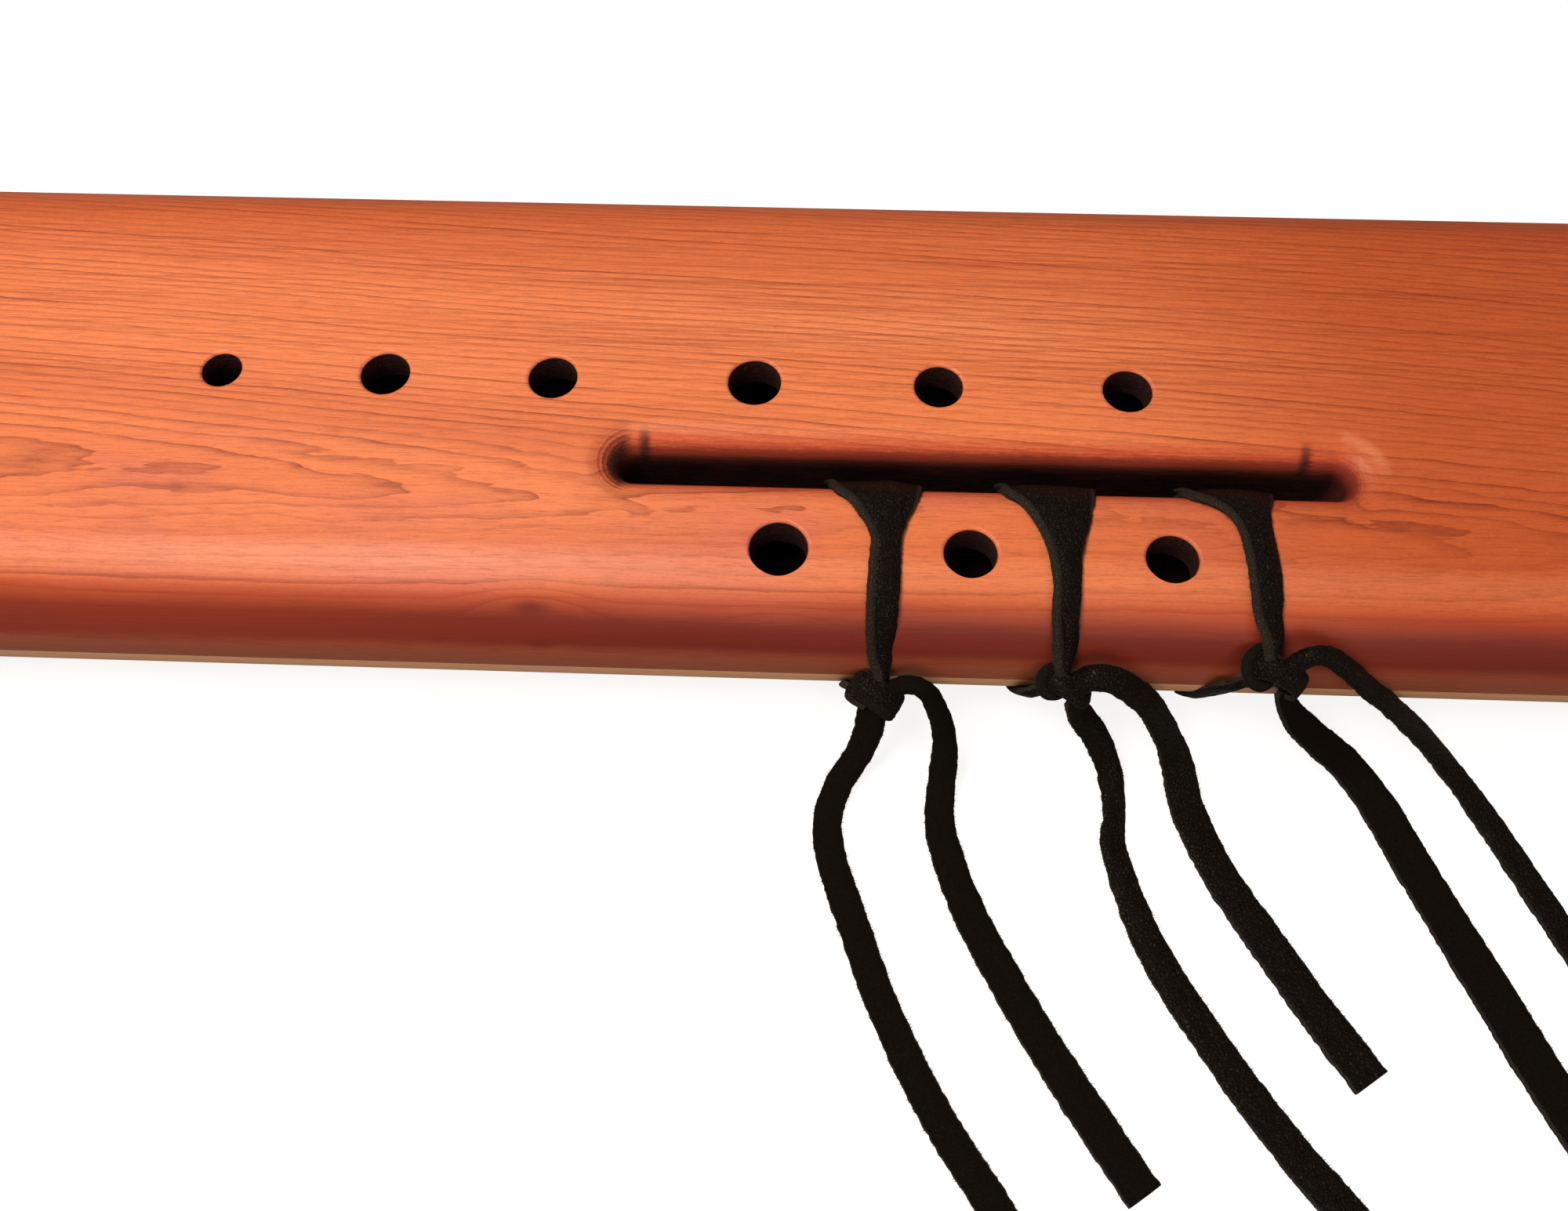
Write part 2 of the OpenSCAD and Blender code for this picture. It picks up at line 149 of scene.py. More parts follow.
class Paint:
    def __init__(self, name):
        self.material = bpy.data.materials.new(name)
        self.material.use_nodes = True
        self.tree = self.material.node_tree
        self.tree.nodes.clear()

    def node(self, kind, settings=None, sockets=None, output=0):
        made = self.tree.nodes.new(kind)
        for key, value in (settings or {}).items():
            setattr(made, key, value)
        for key, value in (sockets or {}).items():
            if isinstance(value, Wire):
                self.tree.links.new(value.socket, made.inputs[key])
            elif isinstance(value, tuple) and len(value) == 3 and made.inputs[key].type == "RGBA":
                made.inputs[key].default_value = (*value, 1)
            else:
                made.inputs[key].default_value = value
        return Wire(self, made.outputs[output]) if len(made.outputs) else None

    def blend(self, factor, first, second, how="MIX"):
        return self.node("ShaderNodeMix", {"data_type": "RGBA", "blend_type": how, "clamp_factor": True},
                         {0: factor, 6: first, 7: second}, 2)

    def fade(self, value, start, end, low=0.0, high=1.0):
        return self.node("ShaderNodeMapRange", {"interpolation_type": "SMOOTHSTEP"},
                         {0: value, 1: start, 2: end, 3: low, 4: high})

    def stretch(self, place, scale):
        return self.node("ShaderNodeVectorMath", {"operation": "MULTIPLY"}, {0: place, 1: scale})

    def cloud(self, place, scale, detail=2.0, rough=0.5, shift=(0, 0, 0)):
        moved = self.node("ShaderNodeVectorMath", {"operation": "ADD"},
                          {0: self.stretch(place, scale), 1: shift})
        return self.node("ShaderNodeTexNoise", {"noise_dimensions": "3D"},
                         {"Vector": moved, "Scale": 1.0, "Detail": detail, "Roughness": rough})

    def place(self):
        spot = self.node("ShaderNodeTexCoord", output="Object")
        return self.node("ShaderNodeVectorMath", {"operation": "SCALE"}, {0: spot, "Scale": 1000.0})

    def close(self, sockets):
        shader = self.node("ShaderNodeBsdfPrincipled", None, sockets)
        self.node("ShaderNodeOutputMaterial", None, {"Surface": shader})
        return self.material


# woods: colours, then the growth rings (millimetres), then the finish
oiledCedar = {
    "early": (0.88, 0.232, 0.078), "late": (0.21, 0.026, 0.010), "deep": (0.55, 0.088, 0.019),
    "pink": (0.70, 0.165, 0.085), "pale": (0.92, 0.32, 0.14), "wine": (0.18, 0.018, 0.008),
    # the near black paints shade in the holes, bores and slot, and the marks by the slot ends; wine and
    # ember also carry painted shade
    "ember": (0.52, 0.062, 0.018), "nearBlack": (0.006, 0.002, 0.0016), "side": (0.30, 0.078, 0.034),
    "tongue": 6.0,
    "pith": (-26.0, 23.0), "lean": -0.035, "rise": 0.036, "spacing": 1.5, "sweep": 6.0, "wave": 1.1,
    "roughness": 0.45, "coat": 0.05, "coatRoughness": 0.26, "bump": 0.25, "gloss": 0.24,
}
paleCedar = {
    "early": (0.90, 0.47, 0.24), "late": (0.55, 0.22, 0.10), "deep": (0.76, 0.36, 0.18), "bored": True,
    "pith": (-60.0, -40.0), "lean": 0.01, "rise": 0.02, "spacing": 2.1, "sweep": 5.0, "wave": 1.2,
    "roughness": 0.48, "coat": 0.08, "coatRoughness": 0.3, "bump": 0.2, "gloss": 0.36,
}
blockWood = {
    "early": (0.30, 0.085, 0.035), "late": (0.11, 0.026, 0.012), "deep": (0.2, 0.05, 0.02),
    "pith": (60.0, -30.0), "lean": 0.02, "rise": 0.05, "spacing": 1.5, "sweep": 5.0, "wave": 1.4,
    "roughness": 0.38, "coat": 0.22, "coatRoughness": 0.22, "bump": 0.2, "gloss": 0.45,
}
pinKnots = ((87.3, -48.0, 30.4, 1.9), (88.5, -52.2, 24.6, 1.3), (132.0, -50.0, 28.0, 1.6))


def growthRings(paint, spot, look):
    x = paint.node("ShaderNodeSeparateXYZ", None, {0: spot})
    y, z = x.also(1), x.also(2)
    sweep = (paint.cloud(spot, (0.0055, 0.022, 0.022), 1.5, 0.5) - 0.5) * look["sweep"]
    wave = (paint.cloud(spot, (0.011, 0.15, 0.15), 3.0, 0.6, (7, 3, 1)) - 0.5) * look["wave"]
    ripple = (paint.cloud(spot, (0.10, 0.55, 0.55), 2.0, 0.5, (2, 9, 4)) - 0.5) * 0.5
    across = y - look["pith"][0] - (x - 100.0) * look["lean"] + sweep
    # the flat-sawn half wanders in torn tongues, the other half runs straight
    tongue = (paint.cloud(spot, (0.018, 0.10, 0.10), 4.0, 0.56, (1, 6, 2)) - 0.5) * look.get("tongue", 0.0)
    tongue = tongue * paint.fade(y, -7.0, -24.0) * paint.fade(y, -46.0, -36.0)
    depth = z - look["pith"][1]
    radius = (across * across + depth * depth).root()
    ring = (radius + x * look["rise"] + wave + ripple + tongue) / look["spacing"]
    return x, y, z, ring


def ringLines(paint, ring):
    phase = ring.run("FRACT", ring)
    count = ring.run("FLOOR", ring)
    chance = paint.node("ShaderNodeTexWhiteNoise", {"noise_dimensions": "1D"}, {"W": count})
    line = phase ** 4.0 * paint.fade(phase, 1.0, 0.94)
    season = paint.node("ShaderNodeTexNoise", {"noise_dimensions": "1D"},
                        {"W": ring * 0.11, "Scale": 1.0, "Detail": 1.0})
    return line * (0.25 + 0.75 * chance ** 0.8), season


def grainSpeckle(paint, spot):
    fibre = paint.cloud(spot, (0.22, 3.2, 3.2), 3.0, 0.6, (5, 5, 5))
    pore = paint.cloud(spot, (1.1, 4.5, 4.5), 2.0, 0.7, (1, 8, 2))
    return fibre, pore


def boreShade(x, y, z):
    # painted shade: the bore walls darkened to near black, fading out towards the foot
    lane = y - body["farY"] * y.run("ROUND", y / body["farY"])
    depth = z - body["seam"]
    reach = (lane * lane + depth * depth).root()
    paint = x.maker
    return (paint.fade(reach, 12.2, 11.5) * paint.fade(x, 326.0, 300.0, 0.4, 0.95)
            * paint.fade(x, -260, -254))


def plainWood(name, look):
    paint = Paint(name)
    spot = paint.place()
    x, y, z, ring = growthRings(paint, spot, look)
    line, season = ringLines(paint, ring)
    fibre, pore = grainSpeckle(paint, spot)
    tone = paint.blend(paint.fade(season, 0.35, 0.68) * 0.6, look["early"], look["deep"])
    tone = paint.blend(line * 0.75, tone, look["late"])
    tone = paint.blend(paint.fade(fibre, 0.42, 0.72) * 0.22, tone, look["late"])
    tone = paint.blend(paint.fade(pore, 0.5, 0.75) * 0.12, tone, look["late"])
    if look.get("bored"):
        # painted shade inside the bores
        tone = paint.blend(boreShade(x, y, z), tone, oiledCedar["nearBlack"])
    relief = line * 0.5 + fibre * 0.6 + pore * 0.4
    bump = paint.node("ShaderNodeBump", None,
                      {"Strength": look["bump"], "Distance": 0.00012, "Height": relief})
    rough = look["roughness"] + 0.10 * (fibre - 0.5) + 0.05 * line
    return paint.close({"Base Color": tone, "Roughness": rough, "Normal": bump,
                        "Coat Weight": look["coat"], "Coat Roughness": look["coatRoughness"],
                        "Specular IOR Level": look["gloss"]})


def faceCedar():
    look = oiledCedar
    paint = Paint("oiledCedar")
    spot = paint.place()
    x, y, z, ring = growthRings(paint, spot, look)
    knotDark = 0.0
    for kx, ky, kz, size in pinKnots:
        away = paint.node("ShaderNodeVectorMath", {"operation": "SUBTRACT"}, {0: spot, 1: (kx, ky, kz)})
        away = paint.stretch(away, (0.45, 1.0, 1.0))
        gap = paint.node("ShaderNodeVectorMath", {"operation": "LENGTH"}, {0: away}, 1)
        ring = ring + paint.fade(gap, size * 4, 0.0, 0.0, 1.5)
        knotDark = knotDark + paint.fade(gap, size * 1.3, size * 0.15)
    line, season = ringLines(paint, ring)
    fibre, pore = grainSpeckle(paint, spot)
    # broad drifts of colour along the board, and darker towards the foot and the far edge: partly deeper
    # wood, partly painted shade
    drift = paint.cloud(spot, (0.006, 0.03, 0.03), 2.0, 0.5, (3, 1, 6))
    blush = paint.cloud(spot, (0.02, 0.06, 0.06), 2.5, 0.55, (9, 2, 5))
    tone = paint.blend(paint.fade(season, 0.36, 0.68) * 0.34, look["early"], look["deep"])
    tone = paint.blend(paint.fade(drift, 0.5, 0.75) * 0.3, tone, look["pale"])
    low = paint.fade(y, -6.0, -24.0)
    tone = paint.blend(paint.fade(blush, 0.44, 0.66) * low * 0.75, tone, look["pink"])
    footShadeAndTone = paint.fade(x + 40.0 * (drift - 0.5), 175.0, 258.0)
    tone = paint.blend(footShadeAndTone * 0.80, tone, look["deep"])
    farEdgeShadeAndTone = paint.fade(y + 8.0 * (drift - 0.5), 14.0, 54.0)
    tone = paint.blend(farEdgeShadeAndTone * 0.85, tone, look["deep"])
    dashes = paint.fade(paint.cloud(spot, (0.02, 0.4, 0.4), 2.0, 0.5, (4, 2, 7)), 0.3, 0.7, 0.7, 1.25)
    dashes = dashes * paint.fade(y, -27.0, -35.0, 1.0, 0.4) + paint.fade(y, -40.0, -47.0, 0.0, 0.6)
    tone = paint.blend(line * dashes, tone, look["late"])
    hairs = paint.fade(paint.cloud(spot, (0.012, 1.9, 1.9), 2.0, 0.6, (2, 5, 8)), 0.5, 0.68)
    hairs = hairs * (paint.fade(y, -14.0, 10.0, 0.1, 0.36) + paint.fade(y, -41.0, -46.0, 0.0, 0.4))
    tone = paint.blend(hairs, tone, look["late"])
    # dark band along the lower rounding, duller and darker below it: partly the wood's own colour, partly
    # painted shade where the rounding turns away, growing towards the foot
    nearSide = paint.fade(y, -38.0, -44.0)
    wander = 3.0 * (blush - 0.5) + 2.0 * (fibre - 0.5)
    streakAndShade = paint.fade(z + wander, 33.6, 28.5) * paint.fade(z + 0.6 * wander, 19.5, 25.0) * nearSide
    streakReach = paint.fade(x, 10.0, 130.0, 0.84, 1.0)
    tone = paint.blend(paint.fade(z + wander, 34.9, 30.5) * nearSide * 0.75, tone, look["ember"])
    tone = paint.blend(streakAndShade * streakReach, tone, look["wine"])
    tone = paint.blend(paint.fade(z + 0.6 * wander, 25.5, 20.5) * nearSide * 0.9, tone, look["side"])
    # painted highlight along the top of the near tube's rounding
    crestHighlight = paint.fade(z, 32.0, 34.3) * paint.fade(y, -36.0, -39.5)
    tone = paint.blend(crestHighlight * 0.22, tone, look["pale"])
    # slot: painted shade deep down and on the walls; torn fibres on the lips, darkened with painted shade
    # where they turn away
    middle = (body["slotEnds"][0] + body["slotEnds"][1]) / 2
    half = (body["slotEnds"][1] - body["slotEnds"][0]) / 2
    along = x.run("MAXIMUM", abs(x - middle) - half, 0.0)
    aside = y - body["slotY"]
    gap = (along * along + aside * aside).root()
    torn = paint.cloud(spot, (0.35, 2.4, 2.4), 3.0, 0.65, (4, 4, 1))
    footEnd = paint.fade(x, 150, 200)
    endZone = paint.fade(along, 0.5, 3.0)
    comb = paint.node("ShaderNodeTexNoise", {"noise_dimensions": "1D"},
                      {"W": gap + 0.5 * torn, "Scale": 2.2})
    comb = paint.fade(comb, 0.38, 0.62, 0.35, 1.0)
    lip = paint.fade(gap + 3.0 * (torn - 0.5) + 1.0 * footEnd * endZone, 7.6, 4.2)
    tone = paint.blend(lip * (0.4 + 0.6 * comb), tone, look["ember"])
    # painted shade on the upper wall and inside the slot, near black deep down
    tone = paint.blend(paint.fade(gap + 1.0 * (torn - 0.5), 4.9, 3.7) * 0.9, tone, look["wine"])
    tone = paint.blend(paint.fade(gap, 3.7, 3.0) * 0.85, tone, look["nearBlack"])
    tone = paint.blend(paint.fade(z, 31.0, 27.0) * paint.fade(gap, 4.6, 3.4), tone, look["nearBlack"])
    # painted shade: dark rings round the slot ends and a near-black crescent at the head end
    worn = gap + 1.6 * (torn - 0.5)
    endShade = paint.fade(worn, 10.2, 4.4) * (1.0 - footEnd) + paint.fade(worn, 6.2, 3.9) * footEnd * 0.6
    tone = paint.blend(endShade * comb * endZone, tone, look["wine"])
    tone = paint.blend(paint.fade(worn, 6.4, 4.4) * endZone * (1.0 - footEnd) * 0.9, tone, look["nearBlack"])
    # painted highlight: a pale ring on the rounding round the foot end of the slot
    endHighlight = paint.fade(abs(gap - 8.4 - 0.8 * torn), 2.0, 0.3) * endZone * footEnd
    endHighlight = endHighlight * paint.fade(aside, -1.5, 5.0)
    tone = paint.blend(endHighlight * 0.4, tone, look["pale"])
    # a dark vertical mark on the upper lip near each slot end
    for markX in (body["slotEnds"][0] + 1.5, body["slotEnds"][1] - 5.0):
        mark = paint.fade(abs(x - markX + 1.6 * (torn - 0.5)), 1.7, 0.2) * paint.fade(aside, 8.4, 4.4)
        tone = paint.blend(mark * paint.fade(aside, 1.0, 3.0) * 0.85, tone, look["nearBlack"])
    # painted shade on the walls of the holes and on the bores behind them
    facing = paint.node("ShaderNodeNewGeometry", output="Normal")
    upright = abs(paint.node("ShaderNodeSeparateXYZ", None, {0: facing}, 2))
    row = paint.fade(abs(y), 6.6, 6.0) + paint.fade(abs(y - body["tubeY"]), 6.6, 6.0)
    wall = paint.fade(upright, 0.55, 0.25) * row * paint.fade(z, 25.0, 27.0)
    tone = paint.blend(wall, tone, look["nearBlack"])
    tone = paint.blend(boreShade(x, y, z), tone, look["nearBlack"])
    tone = paint.blend(knotDark * 0.9, tone, look["wine"])
    tone = paint.blend(paint.fade(fibre, 0.44, 0.74) * 0.32, tone, look["late"])
    tone = paint.blend(paint.fade(pore, 0.5, 0.78) * 0.24, tone, look["late"])
    tone = paint.blend(paint.fade(pore, 0.46, 0.25) * paint.fade(z, 31.0, 34.0, 0.0, 0.16),
                       tone, look["pale"])
    relief = line * 0.5 + fibre * 0.7 + pore * 0.5 + torn * lip * 4.0
    bump = paint.node("ShaderNodeBump", None,
                      {"Strength": look["bump"], "Distance": 0.00014, "Height": relief})
    rough = look["roughness"] + 0.12 * (fibre - 0.5) + 0.06 * line + 0.3 * lip + 0.5 * wall
    coat = look["coat"] * (1.0 - lip * 0.8) * (1.0 - wall)
    return paint.close({"Base Color": tone, "Roughness": rough, "Normal": bump,
                        "Coat Weight": coat, "Coat Roughness": look["coatRoughness"],
                        "Specular IOR Level": look["gloss"]})


blackLeather = {"grain": (0.0034, 0.0024, 0.0018), "worn": (0.034, 0.028, 0.021),
                "suede": (0.002, 0.0014, 0.0011), "edge": (0.036, 0.029, 0.022),
                "grainRoughness": 0.40, "suedeRoughness": 0.9,
                "pebble": 1.35, "bump": 0.8, "glint": (0.80, 0.62, 0.46)}


def leatherPaint():
    look = blackLeather
    paint = Paint("blackLeather")
    spot = paint.place()
    side = paint.node("ShaderNodeAttribute", {"attribute_name": "grainSide"}, output="Fac")
    edge = paint.node("ShaderNodeAttribute", {"attribute_name": "cutEdge"}, output="Fac")
    soft = paint.cloud(spot, (0.9, 0.9, 0.9), 3.0, 0.6)
    warped = paint.node("ShaderNodeVectorMath", {"operation": "MULTIPLY_ADD"},
                        {0: paint.node("ShaderNodeTexNoise", None, {"Vector": spot, "Scale": 0.8}, 1),
                         1: (0.9, 0.9, 0.9), 2: spot})
    cells = paint.node("ShaderNodeTexVoronoi", {"feature": "DISTANCE_TO_EDGE"},
                       {"Vector": warped, "Scale": look["pebble"]})
    pebble = paint.fade(cells, 0.0, 0.22)
    nap = paint.cloud(spot, (5.5, 5.5, 5.5), 3.0, 0.7, (6, 1, 3))
    scuffAndSheen = paint.fade(paint.cloud(spot, (0.25, 0.25, 0.25), 3.0, 0.6, (8, 8, 2)), 0.5, 0.78)
    # lighter pebble tops: partly rubbed wear, partly painted highlight on the pebbles
    grainTone = paint.blend(pebble * paint.fade(nap, 0.45, 0.7) * (0.30 + 0.5 * scuffAndSheen),
                            look["grain"], look["worn"])
    suedeTone = paint.blend(paint.fade(nap, 0.45, 0.75) * 0.35, look["suede"], look["worn"])
    tone = paint.blend(side, suedeTone, grainTone)
    tone = paint.blend(paint.fade(edge + 0.5 * (nap - 0.5), 0.35, 0.9) * 0.8, tone, look["edge"])
    rough = (look["suedeRoughness"] + (look["grainRoughness"] - look["suedeRoughness"]) * side
             + 0.18 * (soft - 0.5) + 0.15 * edge)
    relief = side * pebble * 0.9 + nap * (1.15 - side) * 0.8 + soft * 0.8
    bump = paint.node("ShaderNodeBump", None,
                      {"Strength": look["bump"], "Distance": 0.00022, "Height": relief})
    return paint.close({"Base Color": tone, "Roughness": rough, "Normal": bump,
                        "Specular IOR Level": 0.15, "Specular Tint": look["glint"]})


def floorPaint():
    paint = Paint("paleFloor")
    spot = paint.node("ShaderNodeTexCoord", output="Object")
    cloudy = paint.cloud(spot, (3.0, 3.0, 3.0), 2.0)
    tone = paint.blend(cloudy * 0.04, room["floorTone"], room["floorMottle"])
    # pale to the camera only, like the sky, so that neither floods the wood with light
    seen = paint.node("ShaderNodeLightPath", output="Is Camera Ray")
    glow = paint.blend(seen, (0.0, 0.0, 0.0), room["floorGlow"])
    return paint.close({"Base Color": tone, "Roughness": 0.9, "Emission Color": glow,
                        "Emission Strength": room["floorLevel"], "Specular IOR Level": 0.1})


woodFace = faceCedar()
woodBack = plainWood("paleCedar", paleCedar)
woodBlock = plainWood("blockWood", blockWood)
leather = leatherPaint()
print("materials made")

for nodeName, finish in (("front_shell", woodFace), ("back_shell", woodBack), ("melody_block", woodBlock),
                         ("fixed_drone_block", woodBlock), ("tuned_drone_block", woodBlock)):
    shell = nodes[nodeName]
    shell.data.materials.clear()
    shell.data.materials.append(finish)
    shell.data.shade_smooth()
    shell.data.set_sharp_from_angle(angle=math.radians(32))
    steady = shell.modifiers.new("steadyNormals", "WEIGHTED_NORMAL")
    steady.keep_sharp = True
    steady.weight = 100


def curvePoint(rows, at):
    # Catmull-Rom through rows of numbers, at is a real index
    last = len(rows) - 1
    i = min(int(at), last - 1)
    t = at - i
    p = [rows[min(max(i + k, 0), last)] for k in (-1, 0, 1, 2)]
    return [0.5 * (2 * b + (c - a) * t + (2 * a - 5 * b + 4 * c - d) * t * t
            + (3 * b - a - 3 * c + d) * t ** 3) for a, b, c, d in zip(*p)]


def evenRows(rows, step):
    # rows begin with x, y, z; gives rows a step apart along the line
    fine = [curvePoint(rows, k / 24) for k in range(24 * (len(rows) - 1) + 1)]
    runs = [0.0]
    for a, b in zip(fine, fine[1:]):
        runs.append(runs[-1] + (Vector(b[:3]) - Vector(a[:3])).length)
    count = max(int(runs[-1] / step), 3)
    made, j = [], 0
    for k in range(count + 1):
        goal = runs[-1] * k / count
        while j < len(runs) - 2 and runs[j + 1] < goal:
            j += 1
        t = (goal - runs[j]) / max(runs[j + 1] - runs[j], 1e-9)
        made.append([a + (b - a) * t for a, b in zip(fine[j], fine[j + 1])])
    return made, runs[-1]


def pick(stops, share):
    # value at a share of the length, from (share, value) stops
    for (a, first), (b, second) in zip(stops, stops[1:]):
        if share <= b:
            t = min(max((share - a) / max(b - a, 1e-9), 0.0), 1.0)
            t = t * t * (3 - 2 * t)
            return first + (second - first) * t
    return stops[-1][1]


sectionSpots = [(-1.0, 0.55), (-0.94, 1.0), (-0.78, 1.0), (-0.55, 1.0), (-0.3, 1.0), (0.0, 1.0), (0.3, 1.0),
                (0.55, 1.0), (0.78, 1.0), (0.94, 1.0), (1.0, 0.55), (1.0, -0.55), (0.94, -1.0), (0.78, -1.0),
                (0.5, -1.0), (0.2, -1.0), (-0.2, -1.0), (-0.5, -1.0), (-0.78, -1.0), (-0.94, -1.0),
                (-1.0, -0.55)]


def sweepLace(name, rows, cut, step=0.55):
    # rows: x, y, z, across x, y, z, width, thickness, curl, left lift; all in millimetres
    rings, length = evenRows(rows, step)
    chance = random.Random(name)
    points, faces, sides, edges, centres = [], [], [], [], []
    wide = len(sectionSpots)
    last = len(rings) - 1
    tooth = {-1: 0.0, 1: 0.0}
    for k, ring in enumerate(rings):
        here = Vector(ring[:3])
        ahead = Vector(rings[min(k + 1, last)][:3]) - Vector(rings[max(k - 1, 0)][:3])
        ahead.normalize()
        across = Vector(ring[3:6])
        if not cut.get("square"):
            across -= ahead * across.dot(ahead)
        across.normalize()
        out = across.cross(ahead).normalized()
        width, thick, curl, lift = ring[6:10]
        centres.append(here * mm)
        for flank in (-1, 1):
            tooth[flank] = 0.45 * tooth[flank] + chance.uniform(-1, 1) * cut["ragged"]
        for u, v in sectionSpots:
            bend = max(curl, 0.001)
            reach = width / 2 + (tooth[-1] if u < 0 else tooth[1]) * abs(u) ** 3
            flat = math.sin(bend * u) / bend * reach
            # the lace arches away from what it lies on
            rise = -((1 - math.cos(bend * u)) / bend * reach)
            rise += abs(lift) * max((-u if lift > 0 else u) - 0.45, 0) ** 2 * 3.2
            crease = noise.noise(Vector((k * step * 0.05, u * 2.2 + cut["seed"], cut["seed"] * 3.1)))
            rise += crease * cut["crease"]
            tilt = bend * u
            half = thick / 2 * (1 + 0.12 * noise.noise(Vector((k * step * 0.3, u * 1.5, cut["seed"]))))
            spot = (here + across * (flat + math.sin(tilt) * v * half)
                    + out * (rise + math.cos(tilt) * v * half))
            points.append(spot * mm)
            sides.append(1.0 if (v > 0) == cut["grainUp"] else 0.0)
            edges.append(min(max((abs(u) - 0.86) / 0.10, cut.get("raw", 0.0)), 1.0))
        if k:
            for j in range(wide):
                a, b = (k - 1) * wide + j, (k - 1) * wide + (j + 1) % wide
                faces.append((a, a + wide, b + wide, b))
    for k, turn in ((0, 1), (last, -1)):
        centre = len(points)
        points.append(Vector(rings[k][:3]) * mm)
        sides.append(0.0)
        edges.append(1.0)
        for j in range(wide):
            a, b = k * wide + j, k * wide + (j + 1) % wide
            faces.append((centre, a, b)[::turn])
    # loose fibres on the cut edges
    for k in range(2, last - 1):
        for flank, j in ((-1, 0), (1, 10)):
            if chance.random() > cut["fuzz"] or rings[k][1] > cut.get("hairless", 99):
                continue
            root = points[k * wide + j] / mm
            run = (Vector(rings[k + 1][:3]) - Vector(rings[k][:3])).normalized()
            outwards = (root - Vector(rings[k][:3])).normalized()
            tip = root + (outwards * chance.uniform(0.2, 0.6) + run * chance.uniform(-0.4, 0.4)
                          + Vector((0, 0, chance.uniform(-0.1, 0.25))))
            start = len(points)
            for corner in (root + run * 0.06, root - run * 0.06, root + Vector((0, 0, 0.09)), tip):
                points.append(corner * mm)
                sides.append(0.0)
                edges.append(1.0)
            faces += [(start, start + 1, start + 3), (start + 1, start + 2, start + 3),
                      (start + 2, start, start + 3), (start, start + 2, start + 1)]
    mesh = bpy.data.meshes.new(name)
    mesh.from_pydata([tuple(p) for p in points], [], faces)
    mesh.update()
    for label, values in (("grainSide", sides), ("cutEdge", edges)):
        mesh.attributes.new(label, "FLOAT", "POINT").data.foreach_set("value", values)
    mesh.shade_smooth()
    mesh.set_sharp_from_angle(angle=math.radians(60))
    mesh.materials.append(leather)
    lace = bpy.data.objects.new(name, mesh)
    bpy.context.scene.collection.objects.link(lace)
    return lace, centres, length * mm


